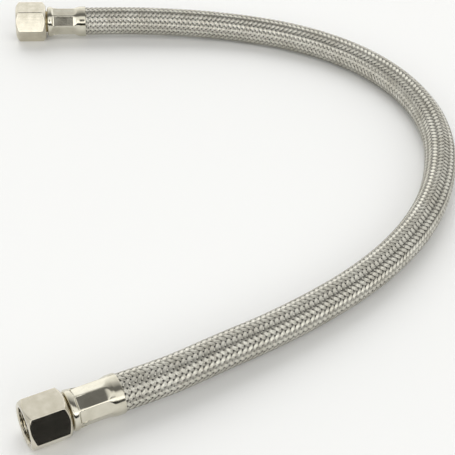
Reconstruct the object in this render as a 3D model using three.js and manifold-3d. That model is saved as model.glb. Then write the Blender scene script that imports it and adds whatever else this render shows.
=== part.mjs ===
// Flexible connecting hose for water and heating: a rubber tube inside a woven
// stainless steel braid, with a crimped ferrule, a barbed brass tail and a
// swivelling hexagon union nut at each end.
//
// Millimetres, +Z up. The hose lies on the floor, z = 0, in one open bend.
// The far fitting lies along +X, and the near one turns in towards +X and +Y.
// The origin is the middle of the hose's own rectangle on the floor.

import * as THREE from 'three';
import { mergeVertices } from 'three/addons/utils/BufferGeometryUtils.js';
import Module from 'manifold-3d';

const wasm = await Module();
wasm.setup();

// Hose

const HOSE_OUTER = 26;              // diameter over the braid
const BRAID_WALL = 0.7;             // thickness of the two crossing layers of wire
const LINER_WALL = 3.3;             // rubber tube, where nothing squeezes it
const LAYER_GAP = 0.2;              // clearance between pieces that press together

// Crimped ferrule

const FERRULE_WALL = 0.8;
const RIM_CLEARANCE = 0.25;         // between the braid and the ferrule's open rim
const CRIMP_DEPTH = 1.9;            // how far the crimped flats lie below the rim
const RIDGE_HEIGHT = 0.85;          // of the ridges left between the flats
const JAW_COUNT = 8;                // flats pressed by the crimping jaws
const JAW_WIDTH = 8.6;
const SHOULDER_LENGTH = 3;          // rounded shoulder beside the nut
const SHOULDER_ROUND = 2;
const FRONT_RAMP = 3.2;             // from the shoulder down to the flats
const CRIMP_LENGTH = 17.8;          // straight part of the flats
const REAR_RAMP = 7.2;              // from the flats up to the rim
const RIM_LENGTH = 5.2;
const FERRULE_LIP = 1.2;            // thickness of the wall turned in behind the nut
const JAW_RISE = 2;                 // how far the jaws' curved ends rise past the rim

// Barbed tail

const LINER_CRIMPED_WALL = 1.6;     // rubber squeezed between the barbs and the braid
const BARB_HEIGHT = 0.6;
const BARB_PITCH = 4.6;
const BARB_LEAD = 0.5;              // share of a pitch before the first crest
const BARB_SLOPE = 0.8;             // share of a pitch that a barb slopes down over
const STEM_WALL = 1.9;              // from the bore to the crest of a barb
const HEAD_THICKNESS = 2.6;         // flange that the nut pulls on
const HEAD_CHAMFER = 0.4;
const GROOVE_DEPTH = 0.8;           // takes the ferrule's turned-in lip
const COLLAR_LENGTH = 2;            // stops the end of the rubber tube
const TIP_SETBACK = 3;              // from the ferrule's mouth back to the stem's tip

// Union nut

const THREAD_BORE = 24.1;           // crests of a 3/4 inch pipe thread
const NUT_WALL = 3.95;              // from the thread's crests to a flat
const SOCKET_DEPTH = 18.5;          // from the open face to the sealing washer
const NUT_LIP = 4;                  // wall that bears on the tail's head
const LIP_BEARING = 1.4;            // width of the ring where the two meet
const SWIVEL_CLEARANCE = 0.5;       // round the tail's neck
const HEAD_CLEARANCE = 0.35;        // round the tail's head and the washer
const FRONT_FACE_CUT = 0.8;         // chamfer's depth into a flat at the open face
const REAR_FACE_CUT = 1.2;          // and at the face beside the ferrule
const NUT_CHAMFER_ANGLE = 40;       // degrees from the face
const THREAD_LEAD_IN = 1.1;
const NUT_TO_FERRULE = 1.2;         // open gap that lets the nut turn

// Sealing washer

const WASHER_THICKNESS = 2.5;
const WASHER_WIDTH = 4.1;           // of the ring, from its hole to its rim

// How finely round shapes are faceted

const NUT_SEGMENTS = 30;
const FERRULE_SEGMENTS = 32;
const TAIL_SEGMENTS = 20;
const BRAID_SIDES = 16;
const INNER_SIDES = 10;
const RUN_STEPS = 40;
const CORNER_STEPS = 3;
const RAMP_STEPS = 3;
const END_STEP = 0.1;               // the straight ends lie this far inside the free run
const CUT_PAST = 1;                 // how far a cutting shape runs past what it cuts

// Route of the hose's centre line, from the far ferrule's mouth to the near one.
// Each point is x, y and the share of the fitting's height that is left there.

const ROUTE = [
  [-124.4, 239.7, 1],
  [-86.4, 239.7, 1],
  [-46.1, 238.2, 0.75],
  [-5, 234.4, 0.3],
  [34.9, 226, 0.05],
  [73.7, 211.7, 0],
  [108.7, 191.1, 0],
  [139.4, 163, 0],
  [162.3, 127.9, 0],
  [174.9, 88.1, 0],
  [176.4, 46.7, 0],
  [167.9, 6.2, 0],
  [152.3, -31.8, 0],
  [130.1, -66.4, 0],
  [102.7, -96.9, 0],
  [71.2, -123.6, 0],
  [37.1, -146.6, 0.05],
  [1.2, -167.5, 0.3],
  [-35.3, -186.3, 0.75],
  [-70.8, -204.3, 1],
  [-106.4, -218.2, 1],
];

// Where the first crimped flat faces, in degrees about each fitting's axis

const FAR_CRIMP_TURN = 13;
const NEAR_CRIMP_TURN = 26;

// Radii that follow from the sizes above, from the outside in

const rimRadius = HOSE_OUTER / 2 + RIM_CLEARANCE + FERRULE_WALL;
const flatRadius = rimRadius - CRIMP_DEPTH;
const ridgeRadius = flatRadius + RIDGE_HEIGHT;

const braidInner = HOSE_OUTER / 2 - BRAID_WALL;
const linerOuter = braidInner - LAYER_GAP;
const linerBore = linerOuter - LINER_WALL;

const braidCrimped = flatRadius - FERRULE_WALL - LAYER_GAP;
const braidCrimpedInner = braidCrimped - BRAID_WALL;
const linerCrimped = braidCrimpedInner - LAYER_GAP;
const linerCrimpedBore = linerCrimped - LINER_CRIMPED_WALL;

const barbCrest = linerCrimpedBore - LAYER_GAP;
const barbRoot = barbCrest - BARB_HEIGHT;
const tailBore = barbCrest - STEM_WALL;

const threadRadius = THREAD_BORE / 2;
const headRadius = threadRadius - HEAD_CLEARANCE;
const lipHole = headRadius - LIP_BEARING;
const neckRadius = lipHole - SWIVEL_CLEARANCE;
const grooveRadius = neckRadius - GROOVE_DEPTH;
const nutFlat = threadRadius + NUT_WALL;
const nutCorner = nutFlat / Math.cos(Math.PI / 6);

// Stations along a fitting's axis, from the nut's open face towards the hose

const washerBack = SOCKET_DEPTH + WASHER_THICKNESS;
const headFront = washerBack + LAYER_GAP;
const headBack = headFront + HEAD_THICKNESS;
const lipFront = headBack + LAYER_GAP;
const nutBack = lipFront + NUT_LIP;
const ferruleFront = nutBack + NUT_TO_FERRULE;
const grooveFront = ferruleFront - LAYER_GAP;
const grooveBack = ferruleFront + FERRULE_LIP + LAYER_GAP;
const collarBack = grooveBack + COLLAR_LENGTH;
const hoseStart = collarBack + LAYER_GAP;
const crimpStart = ferruleFront + SHOULDER_LENGTH + FRONT_RAMP;
const crimpEnd = crimpStart + CRIMP_LENGTH;
const rimStart = crimpEnd + REAR_RAMP;
const mouth = rimStart + RIM_LENGTH;
const stemTip = mouth - TIP_SETBACK;

// A fitting rests on its nut's flat or on its ferrule's rim, whichever is wider.
const fittingHeight = Math.max(nutFlat, rimRadius);

// Finishes

const FINISH = {
  nickel: { color: 0xcfc8b6, metalness: 1, roughness: 0.34 },
  stainless: { color: 0xc2bcae, metalness: 1, roughness: 0.16 },
  wire: { color: 0xb3aea0, metalness: 1, roughness: 0.38 },
  brass: { color: 0xc8b98e, metalness: 1, roughness: 0.3 },
  rubber: { color: 0x1d1c1b, metalness: 0, roughness: 0.75 },
  seal: { color: 0x2a2927, metalness: 0, roughness: 0.85 },
};

// A three.js geometry becomes a solid once its shared corners are merged.
function solidOf(geometry) {
  const bare = geometry.clone();
  bare.deleteAttribute('normal');
  bare.deleteAttribute('uv');
  const merged = mergeVertices(bare, 1e-4);
  const corners = merged.index.array;
  const triangles = [];
  for (let i = 0; i < corners.length; i += 3) {
    const [a, b, c] = corners.slice(i, i + 3);
    const hasArea = a !== b && b !== c && c !== a;
    if (hasArea) triangles.push(a, b, c);
  }
  return new wasm.Manifold(new wasm.Mesh({
    numProp: 3,
    vertProperties: new Float32Array(merged.attributes.position.array),
    triVerts: new Uint32Array(triangles),
  }));
}

function geometryOf(solid) {
  const mesh = solid.getMesh();
  const geometry = new THREE.BufferGeometry();
  geometry.setAttribute('position', new THREE.BufferAttribute(mesh.vertProperties, 3));
  geometry.setIndex(new THREE.BufferAttribute(mesh.triVerts, 1));
  geometry.computeVertexNormals();
  return geometry;
}

function piece(name, solid, finish) {
  const material = new THREE.MeshStandardMaterial({ ...FINISH[finish], flatShading: true });
  const mesh = new THREE.Mesh(geometryOf(solid), material);
  mesh.name = name;
  return mesh;
}

// A body turned about the fitting's axis, which is +X. The profile lists
// [station, radius], with the material on its left.
function turned(profile, segments) {
  const outline = profile.map(([station, radius]) => new THREE.Vector2(radius, station));
  return new THREE.LatheGeometry(outline, segments).rotateZ(-Math.PI / 2);
}

// A ring's profile closes on itself.
function turnedRing(profile, segments) {
  return turned([...profile, profile[0]], segments);
}

// Points of a quarter round that leaves along the axis or meets it.
function quarterRound(station, radius, size, inward) {
  const points = [];
  for (let i = 0; i <= CORNER_STEPS; i += 1) {
    const turn = (i / CORNER_STEPS) * Math.PI / 2;
    const rise = inward ? Math.cos(turn) : Math.sin(turn);
    const run = inward ? Math.sin(turn) : 1 - Math.cos(turn);
    points.push([station + size * run, radius - size + size * rise]);
  }
  return points;
}

// Union nut: hexagon bar, chamfered at both faces, bored for the thread and
// for the tail's head, with a lip left at the back that pulls on the head.
function unionNut() {
  const corners = [];
  for (let i = 0; i < 6; i += 1) {
    const angle = Math.PI / 6 + i * Math.PI / 3;
    corners.push(new THREE.Vector2(nutCorner * Math.cos(angle), nutCorner * Math.sin(angle)));
  }
  const bar = new THREE.ExtrudeGeometry(new THREE.Shape(corners), {
    depth: nutBack,
    bevelEnabled: false,
  }).rotateY(Math.PI / 2);

  const slope = Math.tan(THREE.MathUtils.degToRad(NUT_CHAMFER_ANGLE));
  const frontFace = nutFlat - FRONT_FACE_CUT;
  const rearFace = nutFlat - REAR_FACE_CUT;
  const reach = nutCorner + CUT_PAST;
  const chamfered = turned([
    [0, 0],
    [0, frontFace],
    [(reach - frontFace) * slope, reach],
    [nutBack - (reach - rearFace) * slope, reach],
    [nutBack, rearFace],
    [nutBack, 0],
  ], NUT_SEGMENTS);

  const bore = turned([
    [-CUT_PAST, 0],
    [-CUT_PAST, threadRadius + THREAD_LEAD_IN + CUT_PAST],
    [THREAD_LEAD_IN, threadRadius],
    [lipFront, threadRadius],
    [lipFront, lipHole],
    [nutBack + CUT_PAST, lipHole],
    [nutBack + CUT_PAST, 0],
  ], NUT_SEGMENTS);

  return solidOf(bar).intersect(solidOf(chamfered)).subtract(solidOf(bore));
}

function sealingWasher() {
  return solidOf(turnedRing([
    [SOCKET_DEPTH, headRadius],
    [washerBack, headRadius],
    [washerBack, headRadius - WASHER_WIDTH],
    [SOCKET_DEPTH, headRadius - WASHER_WIDTH],
  ], NUT_SEGMENTS));
}

// Tail: head, neck, groove for the ferrule's lip, collar, and a stem whose
// barbs rise sharply on the nut's side and slope down towards the tip.
function barbedTail() {
  const stem = [];
  const tipStart = stemTip - BARB_HEIGHT;
  for (
    let crest = collarBack + BARB_LEAD * BARB_PITCH;
    crest + BARB_SLOPE * BARB_PITCH < tipStart;
    crest += BARB_PITCH
  ) {
    stem.push([crest, barbRoot], [crest, barbCrest]);
    stem.push([crest + BARB_SLOPE * BARB_PITCH, barbRoot]);
  }
  return solidOf(turnedRing([
    [headFront, tailBore],
    [headFront, headRadius - HEAD_CHAMFER],
    [headFront + HEAD_CHAMFER, headRadius],
    [headBack, headRadius],
    [headBack, neckRadius],
    [grooveFront, neckRadius],
    [grooveFront, grooveRadius],
    [grooveBack, grooveRadius],
    [grooveBack, neckRadius],
    [collarBack, neckRadius],
    [collarBack, barbRoot],
    ...stem,
    [tipStart, barbRoot],
    [stemTip, barbRoot - BARB_HEIGHT],
    [stemTip, tailBore],
  ], TAIL_SEGMENTS));
}

// One jaw's bite: a flat with a curved ramp at each end, wide of the axis.
function jaw(inset, width, turn) {
  const clear = rimRadius + JAW_RISE;
  const flat = flatRadius - inset;
  const bite = new THREE.Shape();
  bite.moveTo(crimpStart, flat);
  bite.lineTo(crimpEnd, flat);
  bite.quadraticCurveTo(crimpEnd + REAR_RAMP / 2, flat, rimStart - inset, clear);
  bite.lineTo(crimpStart - FRONT_RAMP, clear);
  bite.quadraticCurveTo(crimpStart - FRONT_RAMP / 3, flat, crimpStart, flat);
  const options = { depth: width, bevelEnabled: false, curveSegments: RAMP_STEPS };
  return new THREE.ExtrudeGeometry(bite, options)
    .translate(0, 0, -width / 2)
    .rotateX(turn);
}

// The ferrule's skin as pressed: the outside with no inset, and the inside
// with an inset of one wall, which leaves the wall between them.
function crimpedSkin(inset, front, back, crimpTurn) {
  const shoulder = rimRadius - inset;
  const round = SHOULDER_ROUND - inset / 2;
  const ridge = ridgeRadius - inset;
  let skin = solidOf(turned([
    [front, 0],
    ...quarterRound(front, shoulder, round, false),
    [ferruleFront + SHOULDER_LENGTH, shoulder],
    [crimpStart + CRIMP_LENGTH / 4, ridge],
    [crimpEnd + REAR_RAMP / 4, ridge],
    [rimStart, shoulder],
    [back, shoulder],
    [back, 0],
  ], FERRULE_SEGMENTS));
  for (let i = 0; i < JAW_COUNT; i += 1) {
    const turn = crimpTurn + (i * 2 * Math.PI) / JAW_COUNT;
    skin = skin.subtract(solidOf(jaw(inset, JAW_WIDTH + 2 * inset, turn)));
  }
  return skin;
}

function crimpedFerrule(crimpTurn) {
  const outside = crimpedSkin(0, ferruleFront, mouth, crimpTurn);
  const inside = crimpedSkin(FERRULE_WALL, ferruleFront + FERRULE_LIP, mouth + CUT_PAST, crimpTurn);
  const neckHole = turned([
    [ferruleFront - CUT_PAST, 0],
    [ferruleFront - CUT_PAST, grooveRadius + LAYER_GAP],
    [crimpStart, grooveRadius + LAYER_GAP],
    [crimpStart, 0],
  ], TAIL_SEGMENTS);
  return outside.subtract(inside).subtract(solidOf(neckHole));
}

const hoseHeight = HOSE_OUTER / 2;
const route = new THREE.CatmullRomCurve3(
  ROUTE.map(([x, y, share]) => new THREE.Vector3(
    x,
    y,
    hoseHeight + share * (fittingHeight - hoseHeight),
  )),
  false,
  'catmullrom',
  0.5,
);

// A group whose +X runs from the nut's open face to the ferrule's mouth,
// and on into the hose.
function fittingFrame(mouthPoint, intoHose) {
  const frame = new THREE.Group();
  frame.rotation.z = Math.atan2(intoHose.y, intoHose.x);
  frame.position.copy(mouthPoint).addScaledVector(intoHose, -mouth);
  frame.updateMatrix();
  return frame;
}

const farFrame = fittingFrame(route.getPoint(0), route.getTangent(0));
const nearFrame = fittingFrame(route.getPoint(1), route.getTangent(1).negate());

// A round section carried along the route from mouth to mouth.
function run(radius, sides) {
  const corners = [];
  for (let i = 0; i < sides; i += 1) {
    const angle = (i * 2 * Math.PI) / sides;
    corners.push(new THREE.Vector2(radius * Math.cos(angle), radius * Math.sin(angle)));
  }
  return solidOf(new THREE.ExtrudeGeometry(new THREE.Shape(corners), {
    steps: RUN_STEPS,
    extrudePath: route,
  }));
}

// One surface of the hose from end to end: the free run, and at each end a
// straight length that narrows where the ferrule squeezes it on the tail.
function hoseSurface(radius, sides, crimpedRadius, start) {
  const end = turned([
    [start, 0],
    [start, crimpedRadius],
    [crimpEnd, crimpedRadius],
    [rimStart, radius - END_STEP],
    [mouth + CUT_PAST, radius - END_STEP],
    [mouth + CUT_PAST, 0],
  ], TAIL_SEGMENTS);
  const ends = [farFrame, nearFrame].map((frame) => solidOf(end.clone().applyMatrix4(frame.matrix)));
  return run(radius, sides).add(ends[0]).add(ends[1]);
}

function hoseTube(outer, outerSides, inner, outerCrimped, innerCrimped) {
  const outside = hoseSurface(outer, outerSides, outerCrimped, hoseStart);
  const inside = hoseSurface(inner, INNER_SIDES, innerCrimped, hoseStart - CUT_PAST);
  return outside.subtract(inside);
}

function fitting(name, frame, crimpTurnDegrees) {
  const crimpTurn = THREE.MathUtils.degToRad(crimpTurnDegrees);
  frame.add(piece(`${name}_union_nut`, unionNut(), 'nickel'));
  frame.add(piece(`${name}_sealing_washer`, sealingWasher(), 'seal'));
  frame.add(piece(`${name}_barbed_tail`, barbedTail(), 'brass'));
  frame.add(piece(`${name}_ferrule`, crimpedFerrule(crimpTurn), 'stainless'));
  return frame;
}

const hose = new THREE.Group();
hose.add(piece(
  'rubber_liner',
  hoseTube(linerOuter, INNER_SIDES, linerBore, linerCrimped, linerCrimpedBore),
  'rubber',
));
hose.add(piece(
  'wire_braid',
  hoseTube(HOSE_OUTER / 2, BRAID_SIDES, braidInner, braidCrimped, braidCrimpedInner),
  'wire',
));
hose.add(fitting('far', farFrame, FAR_CRIMP_TURN));
hose.add(fitting('near', nearFrame, NEAR_CRIMP_TURN));

export default hose;
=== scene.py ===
# Flexible connecting hose: a rubber tube in a woven stainless steel braid, with a
# crimped ferrule, a barbed brass tail and a swivelling union nut at each end.
# Metres, +Z up, with the hose lying on the floor, z = 0.

import bpy
import numpy as np
from math import cos, pi, radians, sin, tan
from mathutils import Euler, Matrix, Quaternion


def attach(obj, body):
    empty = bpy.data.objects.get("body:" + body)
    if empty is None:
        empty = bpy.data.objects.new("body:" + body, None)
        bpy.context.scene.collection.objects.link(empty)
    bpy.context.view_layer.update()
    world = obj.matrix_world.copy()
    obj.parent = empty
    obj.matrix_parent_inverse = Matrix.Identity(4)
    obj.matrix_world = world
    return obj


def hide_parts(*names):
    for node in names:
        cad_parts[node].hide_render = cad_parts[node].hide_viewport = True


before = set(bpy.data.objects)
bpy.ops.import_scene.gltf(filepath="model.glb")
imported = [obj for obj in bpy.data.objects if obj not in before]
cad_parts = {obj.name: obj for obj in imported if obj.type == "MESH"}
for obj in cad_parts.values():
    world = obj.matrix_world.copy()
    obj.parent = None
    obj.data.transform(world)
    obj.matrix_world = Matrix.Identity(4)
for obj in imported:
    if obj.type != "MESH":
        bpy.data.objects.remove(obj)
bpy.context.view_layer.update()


# Camera
# It looks down over the open side of the bend from the near end, with the small
# roll that the picture has.

CAMERA_PLACE = (-0.11202, -0.68341, 0.58747)
CAMERA_ELEVATION = radians(42.2)
CAMERA_HEADING = radians(8.5745)     # from +Y towards +X
CAMERA_ROLL = radians(4)
FOCAL_LENGTH = 87.03                 # on a sensor 36 mm wide

camera_data = bpy.data.cameras.new("camera")
camera_data.lens = FOCAL_LENGTH
camera_data.sensor_width = 36
camera = bpy.data.objects.new("camera", camera_data)
camera.location = CAMERA_PLACE
looking = Euler((pi / 2 - CAMERA_ELEVATION, 0, -CAMERA_HEADING)).to_quaternion()
camera.rotation_mode = "QUATERNION"
camera.rotation_quaternion = looking @ Quaternion((0, 0, 1), CAMERA_ROLL)
bpy.context.scene.collection.objects.link(camera)
bpy.context.scene.camera = camera


# Rubber tube
# Extruded black rubber that carries the water. It runs from one tail's collar to the
# other's, and is squeezed on the barbs under each ferrule. It shows through the braid.

MM = 0.001
FITTING_HEIGHT = 16 * MM             # of the fittings' axes over the floor
HOSE_RADIUS = 13 * MM                # over the braid, which lies on the floor

# The hose's centre line from the far ferrule's mouth to the near one: x, y in
# millimetres, and the share of the fittings' extra height that is left there.
ROUTE = [
    (-124.4, 239.7, 1), (-86.4, 239.7, 1), (-46.1, 238.2, 0.75), (-5, 234.4, 0.3),
    (34.9, 226, 0.05), (73.7, 211.7, 0), (108.7, 191.1, 0), (139.4, 163, 0),
    (162.3, 127.9, 0), (174.9, 88.1, 0), (176.4, 46.7, 0), (167.9, 6.2, 0),
    (152.3, -31.8, 0), (130.1, -66.4, 0), (102.7, -96.9, 0), (71.2, -123.6, 0),
    (37.1, -146.6, 0.05), (1.2, -167.5, 0.3), (-35.3, -186.3, 0.75), (-70.8, -204.3, 1),
    (-106.4, -218.2, 1),
]
ROUTE_STEPS = 60                     # from each of these points to the next

MOUTH = 65.6 * MM                    # from a nut's open face to its ferrule's mouth
TUBE_START = 32.8 * MM               # where the tube meets the tail's collar
HIDDEN = MOUTH - TUBE_START          # length of tube inside each ferrule
CRIMP_END = 53.2 * MM                # end of the ferrule's straight flats
RIM_START = 60.4 * MM                # of the ferrule's round mouth


def smooth_line(points, steps):
    """Points of a smooth curve through the given ones. Between two of them it is the cubic whose
    end slopes are half the way from the point before to the point after. Past each end the points
    go on by reflection."""
    first = 2 * points[0] - points[1]
    last = 2 * points[-1] - points[-2]
    p = np.vstack([first, points, last])
    start, end = p[1:-2], p[2:-1]
    slope, next_slope = (p[2:-1] - p[:-3]) / 2, (p[3:] - p[1:-2]) / 2
    t = (np.arange(steps) / steps)[None, :, None]
    curve = (
        (2 * t**3 - 3 * t**2 + 1) * start[:, None]
        + (t**3 - 2 * t**2 + t) * slope[:, None]
        + (3 * t**2 - 2 * t**3) * end[:, None]
        + (t**3 - t**2) * next_slope[:, None]
    )
    return np.vstack([curve.reshape(-1, 3), points[-1]])


route = np.array(ROUTE, float)
heights = HOSE_RADIUS + route[:, 2] * (FITTING_HEIGHT - HOSE_RADIUS)
fine_line = smooth_line(np.column_stack([route[:, :2] * MM, heights]), ROUTE_STEPS)
fine_steps = np.linalg.norm(np.diff(fine_line, axis=0), axis=1)
fine_lengths = np.concatenate([[0], np.cumsum(fine_steps)])
free_length = fine_lengths[-1]
fine_slopes = np.gradient(fine_line, fine_lengths, axis=0)


def along_hose(length):
    """Centre, sideways and upward directions at lengths along the hose, counted from the far mouth.
    Inside the ferrules the centre goes straight on. Sideways is level and square to the hose, and
    upward is square to both."""
    inside = np.clip(length, 0, free_length)
    centre, ahead = (
        np.stack([np.interp(inside, fine_lengths, table[:, i]) for i in range(3)], axis=-1)
        for table in (fine_line, fine_slopes)
    )
    ahead /= np.linalg.norm(ahead, axis=-1, keepdims=True)
    side = np.stack([-ahead[..., 1], ahead[..., 0], np.zeros_like(inside)], axis=-1)
    side /= np.linalg.norm(side, axis=-1, keepdims=True)
    centre = centre + ahead * (length - inside)[..., None]
    return centre, side, np.cross(ahead, side)


def round_hose(length, turn, radius):
    """Points round the hose: centre + radius * (cosine of turn * sideways + sine of turn *
    upward)."""
    centre, side, up = along_hose(length)
    turn, radius = turn[..., None], radius[..., None]
    return centre + radius * (np.cos(turn) * side + np.sin(turn) * up)


def squeeze(length):
    """0 in the free hose and 1 under a ferrule's crimped flats. It rises evenly between them with
    the depth inside the ferrule's mouth."""
    depth = np.maximum(-length, length - free_length)
    return np.clip((depth - (MOUTH - RIM_START)) / (RIM_START - CRIMP_END), 0, 1)


def mesh_object(name, points, face_groups):
    """A smooth-shaded mesh object. Each group of faces is an array with one row of corners for
    each face, and all the faces in a group have as many corners."""
    corners = np.concatenate([group.ravel() for group in face_groups])
    sizes = np.concatenate([np.full(len(group), group.shape[1]) for group in face_groups])
    mesh = bpy.data.meshes.new(name)
    mesh.vertices.add(len(points))
    mesh.vertices.foreach_set("co", np.ascontiguousarray(points, np.float32).ravel())
    mesh.loops.add(len(corners))
    mesh.loops.foreach_set("vertex_index", corners.astype(np.int32))
    mesh.polygons.add(len(sizes))
    mesh.polygons.foreach_set("loop_start", (np.cumsum(sizes) - sizes).astype(np.int32))
    mesh.update(calc_edges=True)
    mesh.validate()
    mesh.shade_smooth()
    made = bpy.data.objects.new(name, mesh)
    bpy.context.scene.collection.objects.link(made)
    return made


def looped_grid(rows, columns):
    """The four corners of each face of a grid of points that closes on itself both ways: a point,
    the next in its row, the one past that in the next row, and the one below."""
    row, column = np.meshgrid(np.arange(rows), np.arange(columns), indexing="ij")
    next_row, next_column = (row + 1) % rows, (column + 1) % columns
    faces = [row * columns + column, row * columns + next_column,
             next_row * columns + next_column, next_row * columns + column]
    return np.stack(faces, axis=-1).reshape(-1, 4)


def enclosed_volume(points, faces):
    """A sixth of the sum of the triple products of the triangles that the four-cornered faces
    split into."""
    a, b, c, d = (points[faces[:, i]] for i in range(4))
    return (np.cross(b - a, c - a) * a).sum() / 6 + (np.cross(c - a, d - a) * a).sum() / 6


def ring_body(name, grid, crease=35):
    """A closed body from a grid of points whose rows follow each other round its section and
    whose columns follow each other round its axis. Its faces point outwards. Edges that turn by
    more than the crease, in degrees, are sharp."""
    rows, columns = grid.shape[:2]
    points = grid.reshape(-1, 3)
    faces = looped_grid(rows, columns)
    if enclosed_volume(points - points.mean(axis=0), faces) < 0:
        faces = faces[:, ::-1]
    made = mesh_object(name, points, [faces])
    made.data.set_sharp_from_angle(angle=radians(crease))
    return made


def new_material(name, colour, metallic, roughness):
    """A material with its plain values on the shader's own sockets, and with it its nodes, its
    links and its shader."""
    made = bpy.data.materials.new(name)
    made.use_nodes = True
    nodes, links = made.node_tree.nodes, made.node_tree.links
    shader = nodes["Principled BSDF"]
    shader.inputs["Base Color"].default_value = (*colour, 1)
    shader.inputs["Metallic"].default_value = metallic
    shader.inputs["Roughness"].default_value = roughness
    return made, nodes, links, shader


def add_node(nodes, kind, **settings):
    """A node of that kind. A setting that names an input sets its value, and any other sets a
    property of the node."""
    node = nodes.new(kind)
    for key, value in settings.items():
        name = key.replace("_", " ").title()
        if name in node.inputs:
            node.inputs[name].default_value = value
        else:
            setattr(node, key, value)
    return node


def mottled(nodes, links, coordinates, scale, detail, dark, light):
    """A ramp whose colour wanders between two tones with a noise of that scale."""
    noise = add_node(nodes, "ShaderNodeTexNoise", scale=scale, detail=detail)
    ramp = nodes.new("ShaderNodeValToRGB")
    for stop, position, tone in zip(ramp.color_ramp.elements, (0.35, 0.65), (dark, light)):
        stop.position = position
        stop.color = (*tone, 1)
    links.new(coordinates, noise.inputs["Vector"])
    links.new(noise.outputs["Fac"], ramp.inputs["Fac"])
    return ramp


def bumped(nodes, links, shader, height, strength, distance):
    """Joins a height to the shader's normal through a bump of that strength and distance."""
    bump = add_node(nodes, "ShaderNodeBump", strength=strength, distance=distance)
    links.new(height, bump.inputs["Height"])
    links.new(bump.outputs["Normal"], shader.inputs["Normal"])


rubber, nodes, links, shader = new_material(
    "black_rubber", colour=(0.02, 0.02, 0.019), metallic=0, roughness=0.7)
place = nodes.new("ShaderNodeTexCoord").outputs["Object"]
bloom = mottled(nodes, links, place, scale=240, detail=4,
                dark=(0.014, 0.014, 0.013), light=(0.034, 0.033, 0.031))
links.new(bloom.outputs["Color"], shader.inputs["Base Color"])
grain = add_node(nodes, "ShaderNodeTexNoise", scale=2400, detail=2)
links.new(place, grain.inputs["Vector"])
bumped(nodes, links, shader, grain.outputs["Fac"], strength=0.25, distance=0.06 * MM)

TUBE_OUTER, TUBE_BORE = 12.1 * MM, 8.8 * MM
TUBE_OUTER_SQUEEZED, TUBE_BORE_SQUEEZED = 10.25 * MM, 8.65 * MM
TUBE_STEP = 8 * MM
TUBE_COLUMNS = 40

# Depths inside a mouth at which the tube ends and its squeeze is complete and begins
kinks = np.array([HIDDEN, MOUTH - CRIMP_END, MOUTH - RIM_START])
tube_lengths = np.concatenate([
    -kinks,
    np.linspace(0, free_length, round(free_length / TUBE_STEP) + 1),
    free_length + kinks[::-1],
])
tube_turns = np.arange(TUBE_COLUMNS) * 2 * pi / TUBE_COLUMNS
out_and_back = np.concatenate([tube_lengths, tube_lengths[::-1]])
squeezed = squeeze(tube_lengths)
outer = TUBE_OUTER + squeezed * (TUBE_OUTER_SQUEEZED - TUBE_OUTER)
bore = TUBE_BORE + squeezed * (TUBE_BORE_SQUEEZED - TUBE_BORE)
tube_radii = np.concatenate([outer, bore[::-1]])
rubber_tube = ring_body("rubber_tube", round_hose(
    np.repeat(out_and_back[:, None], TUBE_COLUMNS, axis=1),
    np.repeat(tube_turns[None, :], len(out_and_back), axis=0),
    np.repeat(tube_radii[:, None], TUBE_COLUMNS, axis=1),
))
rubber_tube.data.materials.append(rubber)
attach(rubber_tube, "hose")
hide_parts("rubber_liner")


# Wire braid
# Thirty-two flat strands of bright stainless wire, half of them wound each way, woven over
# two and under two. The braid is laid on the tube by machine and clamped by the ferrules.

STRANDS_EACH_WAY = 16
WIRES = 8                            # side by side in a strand
LEAD = 71.6 * MM                     # along the hose for one turn of a strand
STRAND_WIDTH = 2.75 * MM
STRAND_PINCH = 0.55                  # share of its width that a strand loses between two floats
STRAND_BULGE = 0.12 * MM             # of its middle over its edges
WIRE_TOP = 0.15 * MM                 # of a wire's crown over the strand's middle
WIRE_VALLEY = 0.05 * MM              # between two wires, from the same middle
STRAND_FOOT = -0.2 * MM              # of its edges, from the same middle
WEAVE_RISE = 0.27 * MM               # of a strand's middle over or under the mean
HALF_CROSSINGS = 64                  # steps in one lead: two for each strand that is crossed
HOSE_RADIUS_SQUEEZED = 11.15 * MM
CORD_POINTS = 161

weave_radius = HOSE_RADIUS - WIRE_TOP - WEAVE_RISE
weave_radius_squeezed = HOSE_RADIUS_SQUEEZED - WIRE_TOP - WEAVE_RISE

# The section of a strand, from one edge to the other over the crowns of its wires. Places
# across it are in half widths.
ridge = np.arange(1, 2 * WIRES)
across = np.concatenate([[-1], ridge / WIRES - 1, [1]])
crowns = np.where(ridge % 2 == 1, WIRE_TOP, WIRE_VALLEY)
rise = np.concatenate([[STRAND_FOOT], crowns, [STRAND_FOOT]])
rise -= STRAND_BULGE * across**2
in_valley = np.concatenate([[True], ridge % 2 == 0, [True]])


def strand_points(first_turns, way):
    """Points of strands wound one way, by strand, step along it and point of its section, and each
    step's height in the weave, from -1 to 1. A strand's middle climbs evenly round the hose. Its
    height is the cosine of eight times its turn, enlarged and cut off at both ends, so that it
    passes over two strands and under two. It is widest on top and below, and narrower between."""
    step = LEAD / HALF_CROSSINGS
    steps = np.arange(np.ceil((free_length + 2 * HIDDEN) / step)) * step - HIDDEN
    middle = first_turns[:, None] + way * 2 * pi * steps[None, :] / LEAD
    half_step = 2 * pi / HALF_CROSSINGS
    height = np.clip(np.sqrt(2) * np.cos(8 * (middle - half_step)) * way, -1, 1)
    half_width = STRAND_WIDTH / 2 * (1 - STRAND_PINCH * (1 - np.abs(height)))
    sideways = half_width[..., None] * across
    slant = np.arctan(2 * pi * weave_radius / LEAD)
    length = steps[None, :, None] - sideways * sin(slant) * way
    turn = middle[..., None] + sideways * cos(slant) / weave_radius
    base = weave_radius + squeeze(length) * (weave_radius_squeezed - weave_radius)
    return round_hose(length, turn, base + WEAVE_RISE * height[..., None] + rise), height


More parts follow.
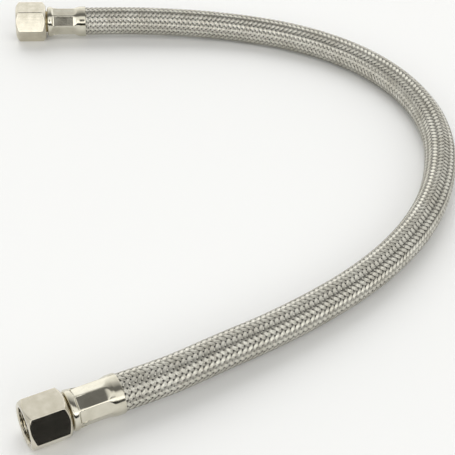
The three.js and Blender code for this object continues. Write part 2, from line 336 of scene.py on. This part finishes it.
def strand_faces(strands, steps, section):
    """Faces of closed strands: four-cornered ones between neighbouring steps of each strand, and
    one with all the corners of its section over each end."""
    strand, step, point = np.meshgrid(
        np.arange(strands), np.arange(steps - 1), np.arange(section), indexing="ij")
    start = (strand * steps + step) * section
    after = (point + 1) % section
    ahead = start + section
    sides = np.stack([start + point, start + after, ahead + after, ahead + point], axis=-1)
    first = np.arange(strands)[:, None] * steps * section + np.arange(section)
    last = first + (steps - 1) * section
    return [sides.reshape(-1, 4), first[:, ::-1], last]


def braid_part(name, first_turns, way, material):
    """A piece of the braid. The valleys between its wires are sharp, so that each wire looks round.
    Each line of points along a strand has a tone of its own. A painted shade, standing in for the
    shadow in the weave's pits and at the strand's edges, falls to 0.3 halfway between two floats,
    and by a quarter at the strand's edges."""
    grid, height = strand_points(first_turns, way)
    strands, steps, section = grid.shape[:3]
    faces = strand_faces(strands, steps, section)
    if way < 0:
        faces = [group[:, ::-1] for group in faces]
    made = mesh_object(name, grid.reshape(-1, 3), faces)
    mesh = made.data
    ends = np.zeros(len(mesh.edges) * 2, np.int32)
    mesh.edges.foreach_get("vertices", ends)
    ends = ends.reshape(-1, 2)
    columns = ends % section
    along_valley = (columns[:, 0] == columns[:, 1]) & in_valley[columns[:, 0]]
    sharp = mesh.attributes.new("sharp_edge", "BOOLEAN", "EDGE")
    sharp.data.foreach_set("value", along_valley)
    # A seed of its own for each piece of the braid
    seed = round(first_turns[0] * 100) + 5 * way + 20
    tones = np.random.default_rng(seed).random((strands, 1, section))
    # Painted shade: 1 on the floats and in the channels, 0.3 where the strand dips between two
    # floats, a quarter less at its edges
    shade = np.where(np.abs(across) > 0.8, 0.75, 1) * (0.3 + 0.7 * np.abs(height[..., None]))
    for label, values in (("tone", tones), ("shade", shade)):
        attribute = mesh.attributes.new(label, "FLOAT", "POINT")
        values = np.broadcast_to(values, grid.shape[:3]).astype(np.float32)
        attribute.data.foreach_set("value", values.ravel())
    mesh.materials.append(material)
    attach(made, "hose")
    return made


wire, nodes, links, shader = new_material(
    "bright_steel_wire", colour=(0.70, 0.68, 0.62), metallic=1, roughness=0.2)
place = nodes.new("ShaderNodeTexCoord").outputs["Object"]
tone = add_node(nodes, "ShaderNodeAttribute", attribute_name="tone")
tones = nodes.new("ShaderNodeValToRGB")
dull, bright = tones.color_ramp.elements
dull.color = (0.65, 0.635, 0.57, 1)
bright.color = (0.83, 0.81, 0.735, 1)
links.new(tone.outputs["Fac"], tones.inputs["Fac"])
patches = mottled(nodes, links, place, scale=60, detail=3,
                  dark=(0.86, 0.85, 0.83), light=(1, 1, 1))
blend = add_node(nodes, "ShaderNodeMix", data_type="RGBA", blend_type="MULTIPLY")
blend.inputs["Factor"].default_value = 1
links.new(tones.outputs["Color"], blend.inputs["A"])
links.new(patches.outputs["Color"], blend.inputs["B"])
# Painted shade: the shade attribute mixes the wire's colour towards a dark brown in the pits of the
# weave and at the strands' edges
shade = add_node(nodes, "ShaderNodeAttribute", attribute_name="shade")
painted_shade_mix = add_node(nodes, "ShaderNodeMix", data_type="RGBA")
painted_shade_mix.inputs["A"].default_value = (0.05, 0.045, 0.035, 1)
links.new(shade.outputs["Fac"], painted_shade_mix.inputs["Factor"])
links.new(blend.outputs["Result"], painted_shade_mix.inputs["B"])
links.new(painted_shade_mix.outputs["Result"], shader.inputs["Base Color"])

first_turns = np.arange(STRANDS_EACH_WAY) * 2 * pi / STRANDS_EACH_WAY
for way, hand in ((1, "right"), (-1, "left")):
    for third, name in enumerate(("first", "second", "third")):
        braid_part(f"braid_{hand}_hand_{name}", first_turns[third::3], way, wire)
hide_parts("wire_braid")

cord_path = along_hose(np.linspace(-HIDDEN, free_length + HIDDEN, CORD_POINTS))[0]


# Crimped ferrules
# Pressed from stainless tube, polished. A press with eight jaws has squeezed each one
# on the braid, which leaves eight flats with thin ridges between them.

# Places along a fitting, its stations, are counted from the nut's open face
FERRULE_FRONT = 29.2 * MM
NECK_HOLE = 9.2 * MM
FERRULE_WALL = 0.8 * MM
FERRULE_LIP = 1.2 * MM
RIM_RADIUS = 14.05 * MM
FLAT_RADIUS = 12.15 * MM
RIDGE_RADIUS = 13 * MM
SHOULDER_ROUND = 2 * MM
SHOULDER_END = 32.2 * MM
CRIMP_START = 35.4 * MM              # of the straight flats
WAIST_START, WAIST_END = 39.5 * MM, 55 * MM
FLARE_END = RIM_START - 0.6 * MM     # where the body is as wide as the rim again
JAWS = 8
JAW_HALF_WIDTH = 4.3 * MM
JAW_RISE = 2 * MM                    # of the jaws' curved ends over the rim
BESIDE_JAW = 3                       # slope of the skin past a jaw's edge
RIDGE_SOFTNESS = 0.22 * MM
MOUTH_EDGE = 0.35 * MM
CRIMP_TURN = {"far": radians(-13), "near": radians(-26)}

# Each fitting's face and the level direction from its nut towards the hose
far_axis = fine_slopes[0] / np.linalg.norm(fine_slopes[0])
near_axis = -fine_slopes[-1] / np.linalg.norm(fine_slopes[-1])
FITTINGS = {
    "far": (fine_line[0] - MOUTH * far_axis, far_axis),
    "near": (fine_line[-1] - MOUTH * near_axis, near_axis),
}


def round_fitting(end, station, turn, radius):
    """Points round a fitting: its face + station * its axis + radius * (sine of turn * left +
    cosine of turn * up). Left is that of someone who looks from the nut towards the hose."""
    face, axis = FITTINGS[end]
    left = np.array([-axis[1], axis[0], 0])
    up = np.array([0, 0, 1])
    values = np.broadcast_arrays(station, turn, radius)
    station, turn, radius = (value[..., None] for value in values)
    return face + station * axis + radius * (np.sin(turn) * left + np.cos(turn) * up)


def softer(a, b, reach):
    """The lesser of two radii, rounded off over a reach where they are nearly equal."""
    mix = np.clip(0.5 + (b - a) / (2 * reach), 0, 1)
    return b + (a - b) * mix - reach * mix * (1 - mix)


def quarter_round(start, size, steps):
    """Stations and radii of a quarter round from a start, given by station and radius. The radius
    grows with the sine and the station with 1 - the cosine of a turn from 0 to a quarter."""
    t = np.linspace(0, pi / 2, steps)
    return start[0] + size * (1 - np.cos(t)), start[1] + size * np.sin(t)


def ferrule_radius(station, turn, inset, crimp_turn):
    """The pressed skin's radius: the lesser of a waisted round body and, under each jaw, a flat
    that curves up at both ends. To the rear its rise is the square of the share of the ramp that
    is passed, and to the front the square of the root of 1 + 3 times that share, less 1. The
    inset is the depth inside the skin."""
    body = np.interp(
        station,
        [SHOULDER_END, WAIST_START, WAIST_END, FLARE_END],
        [RIM_RADIUS, RIDGE_RADIUS, RIDGE_RADIUS, RIM_RADIUS],
    )
    sector = 2 * pi / JAWS
    off_middle = (turn - crimp_turn + sector / 2) % sector - sector / 2
    lift = RIM_RADIUS + JAW_RISE - FLAT_RADIUS
    before = np.maximum(0, CRIMP_START - station) / (CRIMP_START - SHOULDER_END)
    front = np.sqrt(1 + 3 * before) - 1
    rear = np.maximum(0, station - CRIMP_END) / (RIM_START - CRIMP_END)
    distance = FLAT_RADIUS + lift * (front**2 + rear**2)
    past_edge = np.maximum(0, distance * np.abs(np.tan(off_middle)) - JAW_HALF_WIDTH)
    flat = distance / np.cos(off_middle) + BESIDE_JAW * past_edge
    return softer(body, flat, RIDGE_SOFTNESS) - inset


def plain_rows(stations, radii, columns):
    """Rows of a turned surface, each with one station and one radius all the way round."""
    stations, radii = np.broadcast_arrays(np.array(stations, float), np.array(radii, float))
    return np.repeat(stations[:, None], columns, 1), np.repeat(radii[:, None], columns, 1)


def section_round(end, parts, turns):
    """Points of a closed section carried round a fitting. Each part has the stations and radii
    of some of its rows."""
    stations, radii = (np.concatenate(rows) for rows in zip(*parts))
    return round_fitting(end, stations, turns[None, :], radii)


# Columns in the eighth of a turn that each jaw presses, closest at the ridges
sector_turns = radians(1) * np.array([
    -22.5, -21.3, -20.3, -19.5, -18.7, -17.5, -15, -12, -9, -6, -3,
    0, 3, 6, 9, 12, 15, 17.5, 18.7, 19.5, 20.3, 21.3,
])


def ferrule_grid(end):
    """The ferrule's closed section carried round the axis: over the front lip and the shoulder,
    along the crimped skin, round the mouth's edge, and back inside at one wall's distance."""
    turns = (np.arange(JAWS)[:, None] * 2 * pi / JAWS + sector_turns).ravel() + CRIMP_TURN[end]
    columns = len(turns)
    shoulder_start = RIM_RADIUS - SHOULDER_ROUND
    fine_until, fine_from, fine_end = 36.6 * MM, 52 * MM, 61 * MM
    outside = np.concatenate([
        np.linspace(FERRULE_FRONT + SHOULDER_ROUND, fine_until, 18)[1:],
        np.linspace(fine_until, fine_from, 6)[1:],
        np.linspace(fine_from, fine_end, 25)[1:],
        np.linspace(fine_end, MOUTH - MOUTH_EDGE, 5)[1:],
    ])
    inside = np.concatenate([
        np.linspace(MOUTH - MOUTH_EDGE, fine_from, 9),
        np.linspace(fine_from, FERRULE_FRONT + FERRULE_LIP + SHOULDER_ROUND, 6)[1:],
    ])
    half_wall = FERRULE_WALL / 2
    edge_turns = np.linspace(0, pi, 7)[1:-1]
    skins = []
    for stations, inset in ((outside, 0), (inside, FERRULE_WALL)):
        station, turn = np.meshgrid(stations, turns, indexing="ij")
        skins.append((station, ferrule_radius(station, turn, inset, CRIMP_TURN[end])))
    return section_round(end, [
        plain_rows([FERRULE_FRONT], np.linspace(NECK_HOLE, shoulder_start, 4)[:3], columns),
        plain_rows(*quarter_round((FERRULE_FRONT, shoulder_start), SHOULDER_ROUND, 9), columns),
        skins[0],
        plain_rows(MOUTH - MOUTH_EDGE + MOUTH_EDGE * np.sin(edge_turns),
                   RIM_RADIUS - half_wall + half_wall * np.cos(edge_turns), columns),
        skins[1],
        plain_rows([FERRULE_FRONT + FERRULE_LIP],
                   np.linspace(shoulder_start - half_wall, NECK_HOLE, 3), columns),
    ], turns)


def fitting_coordinates(nodes, links, end):
    """Object coordinates moved to the fitting's face and turned so that X runs along its axis."""
    face, axis = FITTINGS[end]
    source = nodes.new("ShaderNodeTexCoord")
    mapping = add_node(nodes, "ShaderNodeMapping", vector_type="TEXTURE")
    mapping.inputs["Location"].default_value = face
    mapping.inputs["Rotation"].default_value = (0, 0, np.arctan2(axis[1], axis[0]))
    links.new(source.outputs["Object"], mapping.inputs["Vector"])
    return mapping.outputs["Vector"]


def stretched(nodes, links, coordinates, scales, detail):
    """A noise drawn out by a different scale along each axis."""
    mapping = nodes.new("ShaderNodeMapping")
    mapping.inputs["Scale"].default_value = scales
    links.new(coordinates, mapping.inputs["Vector"])
    noise = add_node(nodes, "ShaderNodeTexNoise", scale=1, detail=detail)
    links.new(mapping.outputs["Vector"], noise.inputs["Vector"])
    return noise


def roughened(nodes, links, shader, pattern, least, most):
    """Joins a pattern from 0 to 1 to the shader's roughness, drawn out from the least to the
    most."""
    span = nodes.new("ShaderNodeMapRange")
    span.inputs["To Min"].default_value = least
    span.inputs["To Max"].default_value = most
    links.new(pattern, span.inputs["Value"])
    links.new(span.outputs["Result"], shader.inputs["Roughness"])


for end in FITTINGS:
    polished, nodes, links, shader = new_material(
        f"polished_stainless_{end}", colour=(0.65, 0.62, 0.53), metallic=1, roughness=0.12)
    place = fitting_coordinates(nodes, links, end)
    stain = mottled(nodes, links, place, scale=90, detail=3,
                    dark=(0.60, 0.57, 0.475), light=(0.70, 0.67, 0.575))
    links.new(stain.outputs["Color"], shader.inputs["Base Color"])
    rubbed = stretched(nodes, links, place, scales=(120, 900, 900), detail=3)
    roughened(nodes, links, shader, rubbed.outputs["Fac"], least=0.07, most=0.2)
    waves = add_node(nodes, "ShaderNodeTexNoise", scale=90, detail=1)
    links.new(place, waves.inputs["Vector"])
    bumped(nodes, links, shader, waves.outputs["Fac"], strength=0.25, distance=0.16 * MM)

    ferrule = ring_body(f"crimped_ferrule_{end}", ferrule_grid(end), crease=50)
    ferrule.data.materials.append(polished)
    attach(ferrule, "hose")
    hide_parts(f"{end}_ferrule")


# Barbed tails
# Turned from brass bar. The head is pulled against the valve by the nut's lip, and the
# barbs hold the tube. Only the head and the bore are seen, down inside the nut.

TAIL_BORE = 6.55 * MM
HEAD_RADIUS = 11.7 * MM
NECK_RADIUS = 9.8 * MM
GROOVE_RADIUS = 9 * MM
BARB_CREST, BARB_ROOT = 8.45 * MM, 7.85 * MM
BARB_PITCH = 4.6 * MM
BARB_FACE = 0.1 * MM                 # length of its steep side, towards the collar
BARB_LAND = 0.3 * MM                 # length of its crest
BARB_LENGTH = 0.8 * BARB_PITCH       # from its steep side to the foot of its slope
BARBS = 6
HEAD_FRONT, HEAD_BACK = 21.2 * MM, 23.8 * MM
GROOVE_FRONT, GROOVE_BACK = 29 * MM, 30.6 * MM
COLLAR_BACK = 32.6 * MM
STEM_TIP = 62.6 * MM
BORE_ROWS = 50 * MM, 36 * MM         # that divide the long bore
TAIL_COLUMNS = 60

barb_profile = []
for barb in range(BARBS):
    crest = COLLAR_BACK + (barb + 0.5) * BARB_PITCH
    barb_profile += [
        (crest, BARB_ROOT),
        (crest + BARB_FACE, BARB_CREST),
        (crest + BARB_FACE + BARB_LAND, BARB_CREST),
        (crest + BARB_LENGTH, BARB_ROOT),
    ]
tail_profile = np.array([
    (HEAD_FRONT + 0.5 * MM, TAIL_BORE),
    (HEAD_FRONT + 0.15 * MM, TAIL_BORE + 0.15 * MM),
    (HEAD_FRONT, TAIL_BORE + 0.5 * MM),
    (HEAD_FRONT, HEAD_RADIUS - 0.5 * MM),
    (HEAD_FRONT + 0.12 * MM, HEAD_RADIUS - 0.12 * MM),
    (HEAD_FRONT + 0.4 * MM, HEAD_RADIUS),
    (HEAD_BACK, HEAD_RADIUS),
    (HEAD_BACK, NECK_RADIUS),
    (GROOVE_FRONT, NECK_RADIUS),
    (GROOVE_FRONT, GROOVE_RADIUS),
    (GROOVE_BACK, GROOVE_RADIUS),
    (GROOVE_BACK, NECK_RADIUS),
    (COLLAR_BACK, NECK_RADIUS),
    (COLLAR_BACK, BARB_ROOT),
    *barb_profile,
    (STEM_TIP - 0.6 * MM, BARB_ROOT),
    (STEM_TIP, BARB_ROOT - 0.6 * MM),
    (STEM_TIP, TAIL_BORE + 0.3 * MM),
    (STEM_TIP - 0.3 * MM, TAIL_BORE),
    *[(station, TAIL_BORE) for station in BORE_ROWS],
])


def turned_grid(end, profile, columns):
    """A closed profile, with a station and a radius in each row, turned once round the fitting's
    axis."""
    turns = np.arange(columns) * 2 * pi / columns
    return round_fitting(end, profile[:, :1], turns[None, :], profile[:, 1:])


for end in FITTINGS:
    # The brass is darker than fresh brass: partly its dull oxide, partly painted shade for the gap
    # between nut and ferrule, where the tail shows
    brass, nodes, links, shader = new_material(
        f"turned_brass_{end}", colour=(0.45, 0.35, 0.18), metallic=1, roughness=0.36)
    place = fitting_coordinates(nodes, links, end)
    stain = mottled(nodes, links, place, scale=150, detail=4,
                    dark=(0.36, 0.28, 0.14), light=(0.54, 0.43, 0.23))
    links.new(stain.outputs["Color"], shader.inputs["Base Color"])
    tool_marks = stretched(nodes, links, place, scales=(4000, 40, 40), detail=2)
    bumped(nodes, links, shader, tool_marks.outputs["Fac"], strength=0.3, distance=0.05 * MM)
    grid = turned_grid(end, tail_profile, TAIL_COLUMNS)
    tail = ring_body(f"barbed_tail_{end}", grid, crease=30)
    tail.data.materials.append(brass)
    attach(tail, "hose")
    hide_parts(f"{end}_barbed_tail")


# Sealing washers
# Flat black rubber rings, punched from sheet. Each lies loose inside its nut, against
# the tail's head.

WASHER_FRONT, WASHER_BACK = 18.5 * MM, 21 * MM
WASHER_BORE = 7.6 * MM
WASHER_EDGE = 0.25 * MM

edge_middle = 0.3 * WASHER_EDGE      # how far its rounded edges fall short of square corners
washer_profile = np.array([
    (WASHER_FRONT, WASHER_BORE + WASHER_EDGE),
    (WASHER_FRONT, (WASHER_BORE + HEAD_RADIUS) / 2),
    (WASHER_FRONT, HEAD_RADIUS - WASHER_EDGE),
    (WASHER_FRONT + edge_middle, HEAD_RADIUS - edge_middle),
    (WASHER_FRONT + WASHER_EDGE, HEAD_RADIUS),
    (WASHER_BACK - WASHER_EDGE, HEAD_RADIUS),
    (WASHER_BACK - edge_middle, HEAD_RADIUS - edge_middle),
    (WASHER_BACK, HEAD_RADIUS - WASHER_EDGE),
    (WASHER_BACK, WASHER_BORE + WASHER_EDGE),
    (WASHER_BACK - edge_middle, WASHER_BORE + edge_middle),
    (WASHER_BACK - WASHER_EDGE, WASHER_BORE),
    (WASHER_FRONT + WASHER_EDGE, WASHER_BORE),
    (WASHER_FRONT + edge_middle, WASHER_BORE + edge_middle),
])

seal, nodes, links, shader = new_material(
    "washer_rubber", colour=(0.03, 0.03, 0.029), metallic=0, roughness=0.8)
place = nodes.new("ShaderNodeTexCoord").outputs["Object"]
dust = mottled(nodes, links, place, scale=500, detail=4,
               dark=(0.022, 0.022, 0.021), light=(0.05, 0.05, 0.047))
links.new(dust.outputs["Color"], shader.inputs["Base Color"])
grain = add_node(nodes, "ShaderNodeTexNoise", scale=3500, detail=2)
links.new(place, grain.inputs["Vector"])
bumped(nodes, links, shader, grain.outputs["Fac"], strength=0.4, distance=0.08 * MM)

for end in FITTINGS:
    grid = turned_grid(end, washer_profile, TAIL_COLUMNS)
    washer = ring_body(f"sealing_washer_{end}", grid, crease=50)
    washer.data.materials.append(seal)
    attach(washer, "hose")
    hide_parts(f"{end}_sealing_washer")


# Union nuts
# Hexagon brass bar, chamfered at both faces, threaded inside and plated with satin
# nickel. Each is held on its tail by the lip at its back and turns freely there.

NUT_FLAT = 16 * MM                   # from the axis to a flat
NUT_BACK = 28 * MM
LIP_FRONT = 24 * MM
LIP_HOLE = 10.3 * MM
FRONT_FACE = 15.2 * MM               # radius of the flat ring inside the chamfer
REAR_FACE = 14.8 * MM
CHAMFER_SLOPE = tan(radians(40))
CORNER_SOFTNESS = 0.18 * MM
CHAMFER_SOFTNESS = 0.12 * MM
THREAD_CREST = 12.05 * MM
THREAD_ROOT = 13.2 * MM
THREAD_PITCH = 25.4 / 14 * MM
THREAD_FLANK = 1.35                  # steepness of the flanks over a plain zigzag's
THREAD_LAND = 0.18                   # share of their height that the flat crests cut off
THREAD_END = 17.9 * MM               # then a plain turned relief down to the washer's seat
ROWS_IN_PITCH = 7
LEAD_IN = 1.1 * MM

# Columns in the sixth of a turn that each flat takes, closest at the corners
nut_sector = radians(1) * np.array([
    -30, -29.2, -28.2, -26.8, -25, -22, -18, -13, -6.5, 0, 6.5, 13, 18, 22, 25, 26.8, 28.2, 29.2,
])


def nut_outside(station, turn):
    """The nut's outer radius: the least of the distances to the two nearest flats along that turn,
    and of the front and rear chamfers' cones. Edges between them are rounded a little."""
    off_flat = (turn + pi / 6) % (pi / 3) - pi / 6
    this_flat = NUT_FLAT / np.cos(off_flat)
    next_flat = NUT_FLAT / np.cos(pi / 3 - np.abs(off_flat))
    hexagon = softer(this_flat, next_flat, CORNER_SOFTNESS)
    front_cone = FRONT_FACE + station / CHAMFER_SLOPE
    rear_cone = REAR_FACE + (NUT_BACK - station) / CHAMFER_SLOPE
    return softer(hexagon, np.minimum(front_cone, rear_cone), CHAMFER_SOFTNESS)


def thread_radius(station, turn):
    """A pipe thread: crest and root joined by straight flanks, once each pitch, climbing one pitch
    a turn. It fades into the lead-in cone at the mouth."""
    phase = (station / THREAD_PITCH - turn / (2 * pi)) % 1
    groove = np.clip(THREAD_FLANK * (1 - np.abs(2 * phase - 1)) - THREAD_LAND, 0, 1)
    cut = THREAD_CREST + groove * (THREAD_ROOT - THREAD_CREST)
    lead_in = THREAD_CREST + LEAD_IN - station
    return np.maximum(cut, lead_in)


def nut_grid(end):
    """The nut's closed section carried round the axis: the open face, the outside, the rear face,
    the lip's hole, the lip, and the thread back to the mouth. Small bevels break its edges."""
    turns = (np.arange(6)[:, None] * pi / 3 + nut_sector).ravel()
    # Distances of the chamfers' rows from the two faces
    chamfer_rows = MM * np.array([
        0.06, 0.16, 0.3, 0.5, 0.7, 0.9, 1.15, 1.4, 1.7, 2, 2.3, 2.6, 2.9, 3.3,
    ])
    middle_rows = np.linspace(5 * MM, NUT_BACK - 5 * MM, 4)
    outside = np.concatenate([chamfer_rows, middle_rows, NUT_BACK - chamfer_rows[::-1]])
    in_thread = np.arange(THREAD_END, 0.1 * MM, -THREAD_PITCH / ROWS_IN_PITCH)
    mouth_radius = THREAD_CREST + LEAD_IN
    open_face = np.array([
        (0.06 * MM, mouth_radius),
        (0, mouth_radius + 0.1 * MM),
        (0, FRONT_FACE - 0.15 * MM),
    ])
    rear_and_lip = np.array([
        (NUT_BACK, REAR_FACE - 0.15 * MM),
        (NUT_BACK, LIP_HOLE + 0.35 * MM),
        (NUT_BACK - 0.1 * MM, LIP_HOLE + 0.1 * MM),
        (NUT_BACK - 0.35 * MM, LIP_HOLE),
        (LIP_FRONT + 0.2 * MM, LIP_HOLE),
        (LIP_FRONT, LIP_HOLE + 0.2 * MM),
        (LIP_FRONT, THREAD_CREST - 0.2 * MM),
        (LIP_FRONT - 0.2 * MM, THREAD_CREST),
        (THREAD_END + 0.7 * MM, THREAD_CREST),
    ])
    shaped = []
    for stations, radius in ((outside, nut_outside), (in_thread, thread_radius)):
        station, turn = np.meshgrid(stations, turns, indexing="ij")
        shaped.append((station, radius(station, turn)))
    return section_round(end, [
        plain_rows(*open_face.T, len(turns)),
        shaped[0],
        plain_rows(*rear_and_lip.T, len(turns)),
        shaped[1],
    ], turns)


for end in FITTINGS:
    nickel, nodes, links, shader = new_material(
        f"satin_nickel_{end}", colour=(0.66, 0.62, 0.52), metallic=1, roughness=0.2)
    place = fitting_coordinates(nodes, links, end)
    cloud = mottled(nodes, links, place, scale=130, detail=4,
                    dark=(0.60, 0.56, 0.46), light=(0.70, 0.66, 0.56))
    links.new(cloud.outputs["Color"], shader.inputs["Base Color"])
    drawn = stretched(nodes, links, place, scales=(60, 1500, 1500), detail=3)
    roughened(nodes, links, shader, drawn.outputs["Fac"], least=0.08, most=0.16)
    bumped(nodes, links, shader, drawn.outputs["Fac"], strength=0.12, distance=0.04 * MM)

    nut = ring_body(f"union_nut_{end}", nut_grid(end), crease=32)
    nut.data.materials.append(nickel)
    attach(nut, f"{end}_nut")
    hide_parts(f"{end}_union_nut")


# Floor and light
# A plain pale floor, soft light from all round that is dark low in front, dim overhead and
# at the camera, and one wide soft lamp from the back, which the metal doesn't mirror.

FLOOR_SIZE = 30
BRIGHTEST = 2                        # what a white in the light's colours stands for
BLUE_SHARE = 0.98                    # of the light's red and green

floor_data = bpy.data.meshes.new("floor")
half = FLOOR_SIZE / 2
floor_corners = [(-half, -half, 0), (half, -half, 0), (half, half, 0), (-half, half, 0)]
floor_data.from_pydata(floor_corners, [], [(0, 1, 2, 3)])
floor = bpy.data.objects.new("floor", floor_data)
bpy.context.scene.collection.objects.link(floor)
paper = new_material("pale_paper", colour=(0.92, 0.92, 0.915), metallic=0, roughness=0.9)[0]
floor_data.materials.append(paper)

world = bpy.data.worlds.new("studio")
world.use_nodes = True
bpy.context.scene.world = world
nodes, links = world.node_tree.nodes, world.node_tree.links
direction = nodes.new("ShaderNodeTexCoord").outputs["Generated"]


def along(axis):
    """The part of the direction along an axis, which is the cosine of the angle between them."""
    product = add_node(nodes, "ShaderNodeVectorMath", operation="DOT_PRODUCT")
    product.inputs[1].default_value = axis
    links.new(direction, product.inputs[0])
    return product.outputs["Value"]


def calculated(operation, *values):
    """The result of one step of arithmetic on outputs or plain numbers."""
    step = add_node(nodes, "ShaderNodeMath", operation=operation)
    for socket, value in zip(step.inputs, values):
        if isinstance(value, (int, float)):
            socket.default_value = value
        else:
            links.new(value, socket)
    return step.outputs["Value"]


def share_between(value, low, high):
    """A share that rises smoothly from 0 where the value is low to 1 where it is high."""
    rise = add_node(nodes, "ShaderNodeMapRange", interpolation_type="SMOOTHSTEP")
    rise.inputs["From Min"].default_value = low
    rise.inputs["From Max"].default_value = high
    links.new(value, rise.inputs["Value"])
    return rise.outputs["Result"]


def grey(tone):
    """The colour that stands for light of that brightness."""
    return tone / BRIGHTEST, tone / BRIGHTEST, BLUE_SHARE * tone / BRIGHTEST, 1


def tone_over(base, share, tone):
    """The base colour, replaced by that share with a grey of that brightness."""
    mix = add_node(nodes, "ShaderNodeMix", data_type="RGBA")
    mix.inputs["B"].default_value = grey(tone)
    links.new(share, mix.inputs["Factor"])
    links.new(base, mix.inputs["A"])
    return mix.outputs["Result"]


# Brightness over the half turn from the front horizon over the top to the back one, in degrees
STUDIO = [
    (0, 0.01), (16, 0.01), (20, 1.9), (32, 1.9), (42, 1.25), (60, 1.25), (68, 0.9), (74, 0.2),
    (92, 0.2), (104, 0.5), (122, 0.8), (130, 1), (142, 1.15), (150, 1.15), (162, 1.4), (180, 1.4),
]
SIDE_TONE = 0.75
CAMERA_TONE = 0.12
TOWARDS_CAMERA = (-0.05, -cos(radians(38)), sin(radians(38)))

half_turn = calculated("ARCTAN2", along((0, 0, 1)), along((0, -1, 0)))
studio = nodes.new("ShaderNodeValToRGB")
stops = studio.color_ramp.elements
for degrees, tone in STUDIO[1:-1]:
    stops.new(degrees / 180)
for stop, (degrees, tone) in zip(stops, STUDIO):
    stop.position = degrees / 180
    stop.color = grey(tone)
links.new(calculated("DIVIDE", half_turn, pi), studio.inputs["Fac"])
sides = share_between(calculated("ABSOLUTE", along((1, 0, 0))), low=0.7, high=0.95)
shade = tone_over(studio.outputs["Color"], sides, SIDE_TONE)
at_camera = share_between(along(TOWARDS_CAMERA), low=0.986, high=0.992)
shade = tone_over(shade, at_camera, CAMERA_TONE)
links.new(shade, nodes["Background"].inputs["Color"])
nodes["Background"].inputs["Strength"].default_value = BRIGHTEST

lamp_data = bpy.data.lights.new("back_lamp", "SUN")
lamp_data.angle = radians(50)
lamp_data.energy = 0.9
lamp = bpy.data.objects.new("back_lamp", lamp_data)
lamp.rotation_euler = (radians(-40), 0, radians(12))
lamp.visible_glossy = False
bpy.context.scene.collection.objects.link(lamp)

bpy.context.scene.view_settings.view_transform = "Standard"
